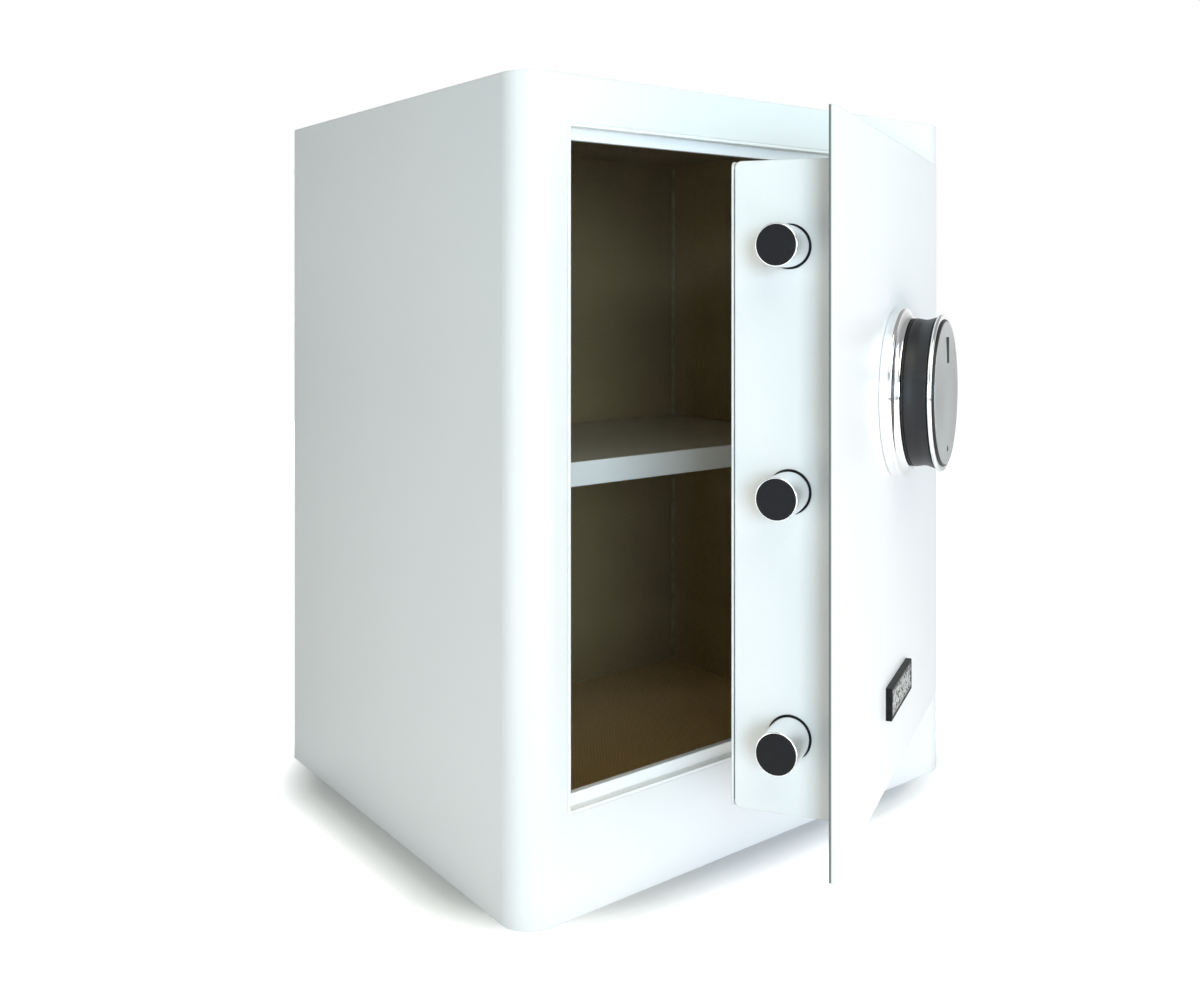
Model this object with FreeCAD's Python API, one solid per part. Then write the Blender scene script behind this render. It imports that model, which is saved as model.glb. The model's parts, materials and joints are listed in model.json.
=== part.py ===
import FreeCAD, Part
import math
import os

os.makedirs("parts", exist_ok=True)
V = FreeCAD.Vector

# An upright steel home safe for documents, standing with its door part open. Millimetres.
# Origin: the centre of the base. X runs across the front, +Y towards the back, Z up.
# The door is drawn closed and then swung about its hinge axis to the angle at which it stands.

# ---- cabinet ----
width = 380.0
depth = 352.0
height = 500.0
steel = 2.0                  # sheet of the wrap, top, bottom and back
corner_radius = 22.0         # the two front upright corners, outside
frame_side = 33.5            # front frame beside the door
frame_top = 30.6             # front frame above the door
frame_bottom = 64.3          # front frame below the door
rebate_depth = 6.0           # front plane to the ledge behind the door
rebate_steel = 2.0
ledge_width = 7.5            # how far the ledge stands into the opening
return_flange = 4.0         # flange that runs back from the ledge's inner edge
lining = 1.5                 # embossed lining sheet
lining_start = 22.0          # side linings begin this far behind the front
corner_bead = 2.4            # leg of the bead in the two rear corners of the lining

# ---- anchor holes ----
anchor_hole = 10.5
floor_anchor_x = 240.0       # between the two holes in the base
floor_anchor_y = -30.0
back_anchor_x = 80.0         # between the two holes in the back
back_anchor_z = 400.0

# ---- shelf ----
shelf_top = 248.3
shelf_front = 130.0          # front of the cabinet to the front of the shelf
shelf_sheet = 1.5
shelf_lip = 18.0             # depth of the folded front and rear lips
shelf_return = 9.0           # turned-in foot of the front lip
shelf_fold = 0.9             # outside radius of its folds
shelf_gap = 0.8              # between the shelf and the linings
rail_sheet = 1.5
rail_leg = 14.0
rail_inset = 22.0            # rail ends, back from the shelf's front and rear edges
rivet_radius = 3.0
rivet_head = 1.2

# ---- door ----
door_open = 30.3             # degrees from closed, as it stands
door_sheet = 4.0
door_round = 0.8             # its front edges
door_gap = 1.2               # at the top, bottom and free edge
hinge_gap = 3.0              # at the hinge edge
pivot_off_wall = 10.5        # hinge axis, inside the side wall
pivot_behind = 16.0          # hinge axis, behind the front plane
pan_sheet = 1.5
pan_inset_free = 26.3        # pan side, inside the plate's free edge
pan_inset_hinge = 26.0
pan_inset_top = 24.7
pan_inset_bottom = 20.2
pan_depth = 66.6             # front plane to the outside of the back cover
pan_round = 4.0              # rear top and bottom edges of the pan
pan_flange = 12.0            # inward flange that the back cover screws to
cover_sheet = 1.3
seal_thick = 0.7
seal_inset = 1.2
screw_radius = 2.0
cover_head_radius = 3.8
cover_head = 1.0
screw_slot = 1.0             # width of the cross in the cover screws' heads
screw_slot_depth = 0.5
screw_beyond = 2.0           # the cover screws' points, beyond the pan's flange
board_gap = 0.5              # between the fire board and the pan's sides
board_thick = 10.0           # fire board on the back of the door plate

# ---- hinges ----
hinge_inset = 44.0           # hinge centres, in from the plate's top and bottom
arm_height = 24.0
arm_thick = 5.0
knuckle_radius = 7.0
pin_radius = 4.0
pin_head = 1.6               # the pin's head, beyond its radius and in height
running_gap = 0.05           # radial, pin and spindle bearings
lip_clearance = 0.8          # between the curved arm and the opening's front corner
foot_length = 20.0
foot_thick = 3.0
ear_radius = 8.0
ear_thick = 4.0
ear_gap = 0.4                # between the arm and each ear
bracket_sheet = 3.0
bracket_length = 46.0        # hinge axis to the rear of the bracket
notch_gap = 2.0              # above and below the arm where it passes the ledge

# ---- keeper that the bolts go behind, on the free side ----
keeper_sheet = 2.0
keeper_leg = 19.0
keeper_gap = 0.8             # in front of the thrown bolts
keeper_edge = 3.0            # keeper's edge, outside the opening
keeper_beyond = 30.0         # keeper, beyond the first and last bolt

# ---- locking bolts ----
bolt_radius = 11.7
bolt_hole_gap = 0.8          # radial, where the bolts leave the pan
bolts_forward = 0.3          # bolt axes, in front of the pan's mid-depth
bolt_end_margin = 44.9       # first and last bolt, in from the pan's ends
bolt_row_drop = 2.6
bolt_tip_gap = 0.8           # drawn bolts pass the side of the opening by this much
bolt_throw = 18.0
bolt_length = 65.0
cap_thick = 5.0              # black cap let into the bolt's end
cap_inset = 0.65             # cap radius, less than the barrel
cap_rise = 0.4               # cap beyond the barrel's end
cap_round = 0.3
barrel_round = 0.5
bolt_screw_length = 12.0
bolt_head_radius = 4.0
bolt_head = 3.0
bar_thick = 5.0
bar_overhang = 14.0          # bar beyond the first and last bolt
guide_thick = 3.0
guide_behind_side = 14.0     # guide strip, inside the pan's side
guide_beyond = 6.0           # guide strip, behind the drive plate

# ---- cam and knob ----
knob_above_bolt = 45.6       # knob axis above the middle bolt
knob_turn = 90.0             # degrees for the whole throw
cam_start = 16.0             # spindle axis to the follower, bolts drawn
cam_radius = 42.0
cam_thick = 4.0
cam_gap = 2.0                # drive plate to cam
cam_hub_radius = 10.0
cam_washer_radius = 8.0
cam_screw_radius = 3.6
follower_radius = 4.0
follower_gap = 0.3
follower_beyond = 1.5
spindle_radius = 6.0
bush_radius = 8.0
bush_gap = 1.0               # between the bush and the fire board
drive_height = 30.0
drive_thick = 3.0
drive_beyond = 3.0           # drive plate beyond the follower
flange_radius = 53.6
flange_height = 11.4
flange_step = 4.5            # its upright edge, before the slope
flange_land = 1.0            # flat between the slope and the grip
flange_round = 1.6
spindle_hole_gap = 2.0
grip_radius = 46.8
grip_length = 16.3
turning_gap = 0.4
rim_radius = 49.6
rim_length = 2.7
rim_round = 0.9
collar_radius = 46.0         # black collar that the rim and the face sit on
collar_length = 3.9
face_radius = 45.0
face_edge = 0.4
face_rise = 1.0              # height of its dome
knob_wall = 3.0
grip_hub_radius = 11.0
window_width = 9.0
window_height = 16.4
window_above = 26.9          # knob axis to the middle of the window
window_rise = 0.7            # window's front, before the face's edge
mark_below = 35.2
mark_radius = 1.8
mark_rise = 0.5

# ---- lock parts ----
lock_plate_sheet = 2.0
lock_plate_gap = 2.0         # from the bolt bar, drawn
lock_plate_drop = 50.0       # knob axis to the plate's lower edge
lock_plate_margin = 8.0      # plate beyond the circuit board
lock_screw_inset = 7.0
lock_head_radius = 3.6
lock_head = 2.2
plunger_radius = 3.0
plunger_behind_bar = 22.0
plunger_throw = 5.0
plunger_gap = 0.4
solenoid_width = 28.0
solenoid_deep = 25.0
solenoid_above_drive = 8.0
solenoid_height = 34.0
solenoid_wall = 2.0
circuit_width = 66.0
circuit_height = 66.0
circuit_thick = 1.6
circuit_beside = 14.0        # knob axis to the circuit board's near edge
circuit_above = 6.0
standoff_length = 10.0
standoff_radius = 3.0
standoff_inset = 5.0
chip_width = 18.0
chip_height = 12.0
chip_rise = 2.5
plug_width = 14.0
plug_height = 8.0
plug_rise = 6.0
plug_margin = 6.0
cell_count = 4
cell_radius = 7.2
cell_length = 50.5
cell_button = 1.5
cell_button_radius = 2.6
cell_gap = 0.6               # between cells
cell_end_gap = 0.5
tray_wall = 1.6
tray_above_pan = 14.0

# ---- badge ----
badge_width = 64.0
badge_height = 20.0
badge_thick = 4.0
badge_rise = 52.2            # door plate's bottom to the badge's centre
badge_border = 1.8
badge_round = 0.8
badge_floor = 1.0            # thickness of the frame behind the plate
badge_recess = 0.4           # plate's front, behind the frame's

# ---- planes and lines worked out from the sizes above ----
left = -width / 2
right = width / 2
front = -depth / 2
back = depth / 2
open_left = left + frame_side
open_right = right - frame_side
open_bottom = frame_bottom
open_top = height - frame_top
clear_left = open_left + ledge_width
clear_right = open_right - ledge_width
clear_bottom = open_bottom + ledge_width
clear_top = open_top - ledge_width
wall_left = left + steel + lining
wall_right = right - steel - lining
wall_back = back - steel - lining

door_left = open_left + door_gap
door_right = open_right - hinge_gap
door_bottom = open_bottom + door_gap
door_top = open_top - door_gap
door_back = front + door_sheet
hinge_x = right - steel - pivot_off_wall
hinge_y = front + pivot_behind
hinge_heights = {"lower": door_bottom + hinge_inset, "upper": door_top - hinge_inset}
pan_left = door_left + pan_inset_free
pan_right = door_right - pan_inset_hinge
pan_bottom = door_bottom + pan_inset_bottom
pan_top = door_top - pan_inset_top
pan_rear = front + pan_depth - cover_sheet - seal_thick
pan_middle = (pan_bottom + pan_top) / 2

bolt_y = front + pan_depth / 2 - bolts_forward
bolt_middle = pan_middle - bolt_row_drop
bolt_pitch = (pan_top - pan_bottom) / 2 - bolt_end_margin
bolt_heights = {"lower": bolt_middle - bolt_pitch, "middle": bolt_middle, "upper": bolt_middle + bolt_pitch}
# The rear rim of a bolt's tip swings on the largest circle about the hinge axis and has to pass the opening.
tip_rear = bolt_y + bolt_radius - hinge_y
tip_reach = math.sqrt((hinge_x - open_left - bolt_tip_gap) ** 2 - tip_rear ** 2)
bolt_tip = hinge_x - tip_reach
bolt_root = bolt_tip + bolt_length
keeper_low = bolt_heights["lower"] - keeper_beyond
keeper_high = bolt_heights["upper"] + keeper_beyond

board_rear = door_back + board_thick
plate_rear = board_rear + lock_plate_sheet
knob_x = (door_left + door_right) / 2
knob_z = bolt_middle + knob_above_bolt
drive_front = bolt_y + bolt_radius
drive_rear = drive_front + drive_thick
cam_front = drive_rear + cam_gap
cam_rear = cam_front + cam_thick
behind_cam = front + pan_depth - cover_sheet - cam_rear
hub_rear = cam_rear + behind_cam / 4
washer_rear = hub_rear + behind_cam / 5
cam_screw_rear = washer_rear + behind_cam / 6
follower_x = knob_x - cam_start
plunger_x = bolt_root + bar_thick + plunger_behind_bar
plunger_y = drive_front + drive_thick / 2
drive_top = knob_z + drive_height / 2
drive_bottom = knob_z - drive_height / 2


def block(x0, x1, y0, y1, z0, z1):
    return Part.makeBox(x1 - x0, y1 - y0, z1 - z0, V(x0, y0, z0))


def rod(radius, start, end):
    way = end - start
    return Part.makeCylinder(radius, way.Length, start, way)


def rod_x(radius, x0, x1, y, z):
    return rod(radius, V(x0, y, z), V(x1, y, z))


def rod_y(radius, y0, y1, x, z):
    return rod(radius, V(x, y0, z), V(x, y1, z))


def rod_z(radius, z0, z1, x, y):
    return rod(radius, V(x, y, z0), V(x, y, z1))


def frame_ring(outer, inner, y0, y1):
    """A flat rectangular ring, each outline given as left, right, bottom, top."""
    whole = block(outer[0], outer[1], y0, y1, outer[2], outer[3])
    return whole.cut(block(inner[0], inner[1], y0 - 1, y1 + 1, inner[2], inner[3]))


def round_edges(shape, radius, chosen):
    """Fillets the edges whose middle point the test chooses."""
    return shape.makeFillet(radius, [edge for edge in shape.Edges if chosen(edge.CenterOfMass)])


def round_front_block(x0, x1, y0, y1, z0, z1, radius):
    """A block whose two front upright edges are rounded."""
    middle = (z0 + z1) / 2
    return round_edges(block(x0, x1, y0, y1, z0, z1), radius,
                       lambda c: abs(c.y - y0) < 0.01 and abs(c.z - middle) < 0.01)


def mirror_x(shape):
    return shape.mirror(V(0, 0, 0), V(1, 0, 0))


def save(name, shape):
    shape = shape.removeSplitter() if len(shape.Solids) == 1 else shape
    shape.exportStep("parts/" + name + ".step")


def save_group(name, shapes):
    Part.makeCompound(shapes).exportStep("parts/" + name + ".step")


def hang(shape):
    """Swings a door piece from closed to the angle at which the door stands."""
    swung = shape.copy()
    swung.rotate(V(hinge_x, hinge_y, 0), V(0, 0, 1), door_open)
    return swung


def save_door(name, shape):
    save(name, hang(shape))


def save_door_group(name, shapes):
    save_group(name, [hang(shape) for shape in shapes])


# ---- anchor holes: through the bottom and its lining, and through the back and its lining ----
def floor_anchors():
    holes = []
    for x in (-floor_anchor_x / 2, floor_anchor_x / 2):
        holes.append(rod_z(anchor_hole / 2, -1, steel + lining + 1, x, floor_anchor_y))
    return Part.makeCompound(holes)


def back_anchors():
    holes = []
    for x in (-back_anchor_x / 2, back_anchor_x / 2):
        holes.append(rod_y(anchor_hole / 2, wall_back - 1, back + 1, x, back_anchor_z))
    return Part.makeCompound(holes)


# ---- cabinet shell ----
def wrap():
    outer = round_front_block(left, right, front, back, 0, height, corner_radius)
    inner = round_front_block(left + steel, right - steel, front + steel, back + 1, -1, height + 1,
                              corner_radius - steel)
    opening = block(open_left - rebate_steel, open_right + rebate_steel, front - 1, front + steel + 1,
                    open_bottom - rebate_steel, open_top + rebate_steel)
    return outer.cut(inner).cut(opening)


def deck(z0, z1):
    return round_front_block(left + steel, right - steel, front + steel, back - steel, z0, z1,
                             corner_radius - steel)


def rebate():
    t = rebate_steel
    opening = (open_left, open_right, open_bottom, open_top)
    opening_out = (open_left - t, open_right + t, open_bottom - t, open_top + t)
    clear = (clear_left, clear_right, clear_bottom, clear_top)
    clear_out = (clear_left - t, clear_right + t, clear_bottom - t, clear_top + t)
    ledge_front = front + rebate_depth
    walls = frame_ring(opening_out, opening, front, ledge_front + t)
    shelf_ring = frame_ring(opening_out, clear, ledge_front, ledge_front + t)
    flange = frame_ring(clear_out, clear, ledge_front, ledge_front + return_flange)
    ring = walls.fuse(shelf_ring).fuse(flange)
    ledge_rear = ledge_front + return_flange + 1
    half = arm_height / 2 + notch_gap
    for z in hinge_heights.values():
        ring = ring.cut(block(clear_right - 1, open_right, ledge_front - 1, ledge_rear, z - half, z + half))
    # no ledge on the free side, where the drawn bolts pass
    return ring.cut(block(open_left, clear_left + 1, ledge_front - 1, ledge_rear, clear_bottom, clear_top))


def keeper():
    """An angle behind the front frame, whose leg stands just in front of the thrown bolts."""
    edge = open_left - keeper_edge
    leg_rear = bolt_y - bolt_radius - keeper_gap
    leg = block(edge - keeper_leg, edge, leg_rear - keeper_sheet, leg_rear, keeper_low, keeper_high)
    web = block(edge - keeper_sheet, edge, front + steel, leg_rear, keeper_low, keeper_high)
    return leg.fuse(web)


save("body_wrap", wrap())
save("top_panel", deck(height - steel, height))
save("bottom_panel", deck(0, steel).cut(floor_anchors()))
save("back_panel", block(left + steel, right - steel, back - steel, back, 0, height).cut(back_anchors()))
save("door_rebate", rebate())
save("bolt_keeper", keeper())


# ---- linings ----
lining_low = steel + lining
lining_high = height - steel - lining
ears_half = arm_height / 2 + ear_gap + ear_thick
bracket_half = ears_half + notch_gap
bracket_rear = hinge_y + bracket_length


def side_lining():
    return block(wall_right, right - steel, front + lining_start, wall_back, lining_low, lining_high)


def hinge_side_lining():
    sheet = side_lining()
    for z in hinge_heights.values():
        sheet = sheet.cut(block(wall_right - 1, right, front, bracket_rear + notch_gap,
                                z - bracket_half, z + bracket_half))
    return sheet


def flat_lining(z0, z1):
    return block(left + steel, right - steel, front + lining_start, back - steel, z0, z1)


def rear_bead():
    """A quarter-round bead that covers the joint in the rear corner."""
    bead = rod_z(corner_bead, lining_low, lining_high, wall_right, wall_back)
    corner = block(wall_right - corner_bead, wall_right, wall_back - corner_bead, wall_back,
                   lining_low, lining_high)
    return bead.common(corner)


save("lining_left", mirror_x(side_lining()))
save("lining_right", hinge_side_lining())
save("lining_back", block(left + steel, right - steel, wall_back, back - steel, lining_low, lining_high)
     .cut(back_anchors()))
save("lining_floor", flat_lining(steel, lining_low).cut(floor_anchors()))
save("lining_ceiling", flat_lining(lining_high, height - steel))
save_group("lining_corner_beads", [rear_bead(), mirror_x(rear_bead())])


# ---- shelf on its two rails ----
shelf_left = wall_left + shelf_gap
shelf_right = wall_right - shelf_gap
shelf_near = front + shelf_front
shelf_far = wall_back - corner_bead - shelf_gap
shelf_under = shelf_top - shelf_sheet
rail_near = shelf_near + rail_inset
rail_far = shelf_far - rail_inset
rail_low = shelf_under - rail_leg
rivet_z = shelf_under - rail_leg * 0.6


def shelf():
    sheet = block(shelf_left, shelf_right, shelf_near, shelf_far, shelf_under, shelf_top)
    low = shelf_top - shelf_lip
    near_lip = block(shelf_left, shelf_right, shelf_near, shelf_near + shelf_sheet, low, shelf_top)
    far_lip = block(shelf_left, shelf_right, shelf_far - shelf_sheet, shelf_far, low, shelf_top)
    foot = block(shelf_left, shelf_right, shelf_near, shelf_near + shelf_return, low, low + shelf_sheet)
    whole = sheet.fuse(near_lip).fuse(far_lip).fuse(foot).removeSplitter()
    return round_edges(whole, shelf_fold, lambda c: abs(c.y - shelf_near) < 0.01 and abs(c.x) < 0.01)


def rail():
    upright = block(wall_right - rail_sheet, wall_right, rail_near, rail_far, rail_low, shelf_under)
    seat_low = shelf_under - rail_sheet
    return upright.fuse(block(wall_right - rail_leg, wall_right, rail_near, rail_far, seat_low, shelf_under))


def rail_rivets():
    rivets = []
    face = wall_right - rail_sheet
    for y in (rail_near + rail_leg, rail_far - rail_leg):
        rivets.append(rod_x(rivet_radius, face - rivet_head, face, y, rivet_z))
    return rivets


save("shelf", shelf())
save("shelf_rail_right", rail())
save("shelf_rail_left", mirror_x(rail()))
save_group("shelf_rail_rivets", rail_rivets() + [mirror_x(rivet) for rivet in rail_rivets()])


# ---- hinges: a curved arm on the door turns on a pin held by a bracket on the side wall ----
lip_reach = math.sqrt((hinge_x - open_right) ** 2 + pivot_behind ** 2)
arm_inner = lip_reach + lip_clearance
arm_outer = arm_inner + arm_thick
web_angle = 85.0             # the arm's web leaves the knuckle almost straight back
bracket_wall = right - steel


def sector(r0, r1, angle0, angle1, z0, z1):
    """A curved bar about the hinge axis, between two radii and two angles in plan."""
    def point(radius, angle):
        turn = math.radians(angle)
        return V(hinge_x + radius * math.cos(turn), hinge_y + radius * math.sin(turn), z0)
    middle = (angle0 + angle1) / 2
    edges = [
        Part.Arc(point(r1, angle0), point(r1, middle), point(r1, angle1)).toShape(),
        Part.makeLine(point(r1, angle1), point(r0, angle1)),
        Part.Arc(point(r0, angle1), point(r0, middle), point(r0, angle0)).toShape(),
        Part.makeLine(point(r0, angle0), point(r1, angle0)),
    ]
    return Part.Face(Part.Wire(edges)).extrude(V(0, 0, z1 - z0))


def hinge_arm(z):
    low = z - arm_height / 2
    high = z + arm_height / 2
    half = arm_thick / 2
    meets_plate = 180 + math.degrees(math.asin((hinge_y - door_back) / arm_inner))
    side_angle = math.degrees(math.asin(half / arm_outer))
    knuckle = rod_z(knuckle_radius, low, high, hinge_x, hinge_y)
    web = block(hinge_x, hinge_x + arm_inner + half, hinge_y - half, hinge_y + half, low, high)
    web.rotate(V(hinge_x, hinge_y, 0), V(0, 0, 1), web_angle)
    hook = sector(arm_inner, arm_outer, web_angle - side_angle, meets_plate, low, high)
    foot_right = hinge_x - math.sqrt(arm_inner ** 2 - (hinge_y - door_back) ** 2) - half
    foot = block(foot_right - foot_length, foot_right, door_back, door_back + foot_thick, low, high)
    arm = knuckle.fuse([web, hook, foot])
    arm = arm.cut(block(left, right, front - 1, door_back, low - 1, high + 1))
    return arm.cut(rod_z(pin_radius + running_gap, low - 1, high + 1, hinge_x, hinge_y))


def hinge_bracket(z):
    plate_front = hinge_y + ear_radius
    bearing = block(bracket_wall - bracket_sheet, bracket_wall, plate_front, bracket_rear,
                    z - ears_half, z + ears_half)
    for low in (z - ears_half, z + ears_half - ear_thick):
        ear = rod_z(ear_radius, low, low + ear_thick, hinge_x, hinge_y)
        tongue = block(hinge_x - ear_radius, hinge_x + ear_radius, hinge_y, hinge_y + bracket_length / 2,
                       low, low + ear_thick)
        root = block(hinge_x - ear_radius, bracket_wall, plate_front, bracket_rear, low, low + ear_thick)
        bearing = bearing.fuse([ear, tongue, root])
    return bearing.cut(rod_z(pin_radius, z - ears_half - 1, z + ears_half + 1, hinge_x, hinge_y))


def hinge_pin(z):
    shank = rod_z(pin_radius, z - ears_half, z + ears_half, hinge_x, hinge_y)
    head = rod_z(pin_radius + pin_head, z + ears_half, z + ears_half + pin_head, hinge_x, hinge_y)
    return shank.fuse(head)


for place, z in hinge_heights.items():
    save_door(place + "_hinge_arm", hinge_arm(z))
    save(place + "_hinge_bracket", hinge_bracket(z))
    save(place + "_hinge_pin", hinge_pin(z))


# ---- door plate and the pan welded to its back ----
def door_plate():
    plate = block(door_left, door_right, front, door_back, door_bottom, door_top)
    plate = round_edges(plate, door_round, lambda c: abs(c.y - front) < 0.01)
    return plate.cut(rod_y(bush_radius, front - 1, door_back + 1, knob_x, knob_z))


def pan():
    outer = block(pan_left, pan_right, door_back, pan_rear, pan_bottom, pan_top)
    outer = round_edges(outer, pan_round, lambda c: abs(c.y - pan_rear) < 0.01 and abs(c.x - knob_x) < 1)
    inner = block(pan_left + pan_sheet, pan_right - pan_sheet, door_back - 1, pan_rear - pan_sheet,
                  pan_bottom + pan_sheet, pan_top - pan_sheet)
    mouth = block(pan_left + pan_flange, pan_right - pan_flange, pan_rear - pan_sheet - 1, pan_rear + 1,
                  pan_bottom + pan_flange, pan_top - pan_flange)
    shell = outer.cut(inner).cut(mouth)
    hole_radius = bolt_radius + bolt_hole_gap
    for z in bolt_heights.values():
        shell = shell.cut(rod_x(hole_radius, pan_left - 1, pan_left + pan_sheet + 1, bolt_y, z))
    for x, z in cover_screw_places():
        shell = shell.cut(rod_y(screw_radius, pan_rear - pan_sheet - 1, pan_rear + 1, x, z))
    return shell


seal_rear = pan_rear + seal_thick
cover_rear = seal_rear + cover_sheet
cover_screw_inset = pan_flange * 0.6


def cover_screw_places():
    places = []
    for x in (pan_left + cover_screw_inset, pan_right - cover_screw_inset):
        for z in (pan_bottom + cover_screw_inset, pan_middle, pan_top - cover_screw_inset):
            places.append((x, z))
    return places


def back_cover():
    sheet = block(pan_left, pan_right, seal_rear, cover_rear, pan_bottom, pan_top)
    sheet = round_edges(sheet, pan_round, lambda c: abs(c.y - (seal_rear + cover_rear) / 2) < 0.01)
    for x, z in cover_screw_places():
        sheet = sheet.cut(rod_y(screw_radius, seal_rear - 1, cover_rear + 1, x, z))
    return sheet


def cover_seal():
    outer = (pan_left + seal_inset, pan_right - seal_inset, pan_bottom + pan_round, pan_top - pan_round)
    inner = (pan_left + pan_flange, pan_right - pan_flange, pan_bottom + pan_flange, pan_top - pan_flange)
    ring = frame_ring(outer, inner, pan_rear, seal_rear)
    for x, z in cover_screw_places():
        ring = ring.cut(rod_y(screw_radius, pan_rear - 1, seal_rear + 1, x, z))
    return ring


def cover_screws():
    reach = cover_head_radius + 1
    half = screw_slot / 2
    head_top = cover_rear + cover_head
    slot_floor = head_top - screw_slot_depth
    screws = []
    for x, z in cover_screw_places():
        shank = rod_y(screw_radius, pan_rear - pan_sheet - screw_beyond, cover_rear, x, z)
        head = rod_y(cover_head_radius, cover_rear, head_top, x, z)
        level_slot = block(x - reach, x + reach, slot_floor, head_top + 1, z - half, z + half)
        upright_slot = block(x - half, x + half, slot_floor, head_top + 1, z - reach, z + reach)
        screws.append(shank.fuse(head).cut(level_slot).cut(upright_slot))
    return screws


def fire_board():
    edge = pan_sheet + board_gap
    board = block(pan_left + edge, pan_right - edge, door_back, board_rear, pan_bottom + edge, pan_top - edge)
    board = board.cut(rod_y(bush_radius + bush_gap, door_back - 1, board_rear + 1, knob_x, knob_z))
    for x, z in lock_plate_screw_places():
        board = board.cut(rod_y(screw_radius, door_back - 1, board_rear + 1, x, z))
    return board


# ---- lock plate: carries the spindle's rear bearing, the solenoid and the circuit board ----
circuit_left = knob_x + circuit_beside
circuit_bottom = knob_z + circuit_above
lock_plate_left = bolt_root + bar_thick + lock_plate_gap
lock_plate_right = circuit_left + circuit_width + lock_plate_margin
lock_plate_bottom = knob_z - lock_plate_drop
lock_plate_top = circuit_bottom + circuit_height + lock_plate_margin


def lock_plate_screw_places():
    places = []
    for x in (lock_plate_left + lock_screw_inset, lock_plate_right - lock_screw_inset):
        for z in (lock_plate_bottom + lock_screw_inset, lock_plate_top - lock_screw_inset):
            places.append((x, z))
    return places


def lock_plate():
    sheet = block(lock_plate_left, lock_plate_right, board_rear, plate_rear,
                  lock_plate_bottom, lock_plate_top)
    sheet = sheet.cut(rod_y(spindle_radius + running_gap, board_rear - 1, plate_rear + 1, knob_x, knob_z))
    for x, z in lock_plate_screw_places():
        sheet = sheet.cut(rod_y(screw_radius, board_rear - 1, plate_rear + 1, x, z))
    return sheet


def lock_plate_screws():
    screws = []
    for x, z in lock_plate_screw_places():
        shank = rod_y(screw_radius, door_back, plate_rear, x, z)
        head = rod_y(lock_head_radius, plate_rear, plate_rear + lock_head, x, z)
        screws.append(shank.fuse(head))
    return screws


save_door("door_plate", door_plate())
save_door("door_pan", pan())
save_door("back_cover", back_cover())
save_door("cover_seal", cover_seal())
save_door_group("cover_screws", cover_screws())
save_door("door_fire_board", fire_board())
save_door("lock_plate", lock_plate())
save_door_group("lock_plate_screws", lock_plate_screws())


# ---- bolts, the bar that joins them and the strip that guides them ----
guide_left = pan_left + guide_behind_side
guide_right = guide_left + guide_thick


def guide_strip():
    strip = block(guide_left, guide_right, board_rear, drive_rear + guide_beyond,
                  pan_bottom + pan_sheet, pan_top - pan_sheet)
    for z in bolt_heights.values():
        strip = strip.cut(rod_x(bolt_radius + running_gap, guide_left - 1, guide_right + 1, bolt_y, z))
    return strip


barrel_start = bolt_tip + cap_rise
cap_radius = bolt_radius - cap_inset


def bolt(z):
    barrel = rod_x(bolt_radius, barrel_start, bolt_root, bolt_y, z)
    barrel = round_edges(barrel, barrel_round, lambda c: abs(c.x - barrel_start) < 0.01)
    socket = rod_x(cap_radius, bolt_tip, bolt_tip + cap_thick, bolt_y, z)
    screw_hole = rod_x(screw_radius, bolt_root - bolt_screw_length, bolt_root + 1, bolt_y, z)
    return barrel.cut(socket).cut(screw_hole)


def bolt_cap(z):
    button = rod_x(cap_radius, bolt_tip, bolt_tip + cap_thick, bolt_y, z)
    return round_edges(button, cap_round, lambda c: abs(c.x - bolt_tip) < 0.01)


def bolt_screw(z):
    head_start = bolt_root + bar_thick
    shank = rod_x(screw_radius, bolt_root - bolt_screw_length, head_start, bolt_y, z)
    return shank.fuse(rod_x(bolt_head_radius, head_start, head_start + bolt_head, bolt_y, z))


def bolt_bar():
    low = bolt_heights["lower"] - bar_overhang
    high = bolt_heights["upper"] + bar_overhang
    bar = block(bolt_root, bolt_root + bar_thick, bolt_y - bolt_radius, drive_front, low, high)
    drive_end = follower_x + follower_radius + drive_beyond
    drive = block(bolt_root, drive_end, drive_front, drive_rear, drive_bottom, drive_top)
    bar = bar.fuse(drive)
    half = plunger_radius + plunger_gap
    for x in (plunger_x, plunger_x + bolt_throw):
        bar = bar.cut(block(x - half, x + half, drive_front - 1, drive_rear + 1,
                            drive_top - plunger_throw - plunger_gap, drive_top + 1))
    for z in bolt_heights.values():
        bar = bar.cut(rod_x(screw_radius, bolt_root - 1, bolt_root + bar_thick + 1, bolt_y, z))
    return bar.cut(rod_y(follower_radius, drive_front - 1, drive_rear + 1, follower_x, knob_z))


save_door("bolt_guide_strip", guide_strip())
for place, z in bolt_heights.items():
    save_door(place + "_bolt", bolt(z))
save_door_group("bolt_caps", [bolt_cap(z) for z in bolt_heights.values()])
save_door_group("bolt_screws", [bolt_screw(z) for z in bolt_heights.values()])
save_door("bolt_bar", bolt_bar())
save_door("cam_follower", rod_y(follower_radius, drive_front, cam_rear + follower_beyond, follower_x, knob_z))


# ---- cam: its slot is an even spiral, so the bolts move in step with the knob ----
spiral_rise = bolt_throw / math.radians(knob_turn)
slot_half = follower_radius + follower_gap
spiral_steps = 12


def spiral_point(turn, offset):
    """A point on the slot's line, or beside it, for the cam turned by so many degrees."""
    angle = math.radians(180 - turn)
    radius = cam_start + spiral_rise * math.radians(turn)
    outward = V(math.cos(angle), 0, math.sin(angle))
    along = outward * spiral_rise + V(math.sin(angle), 0, -math.cos(angle)) * radius
    along.normalize()
    beside = V(-along.z, 0, along.x)
    spot = outward * radius + beside * offset
    return V(knob_x + spot.x, cam_front - 1, knob_z + spot.z)


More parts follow.
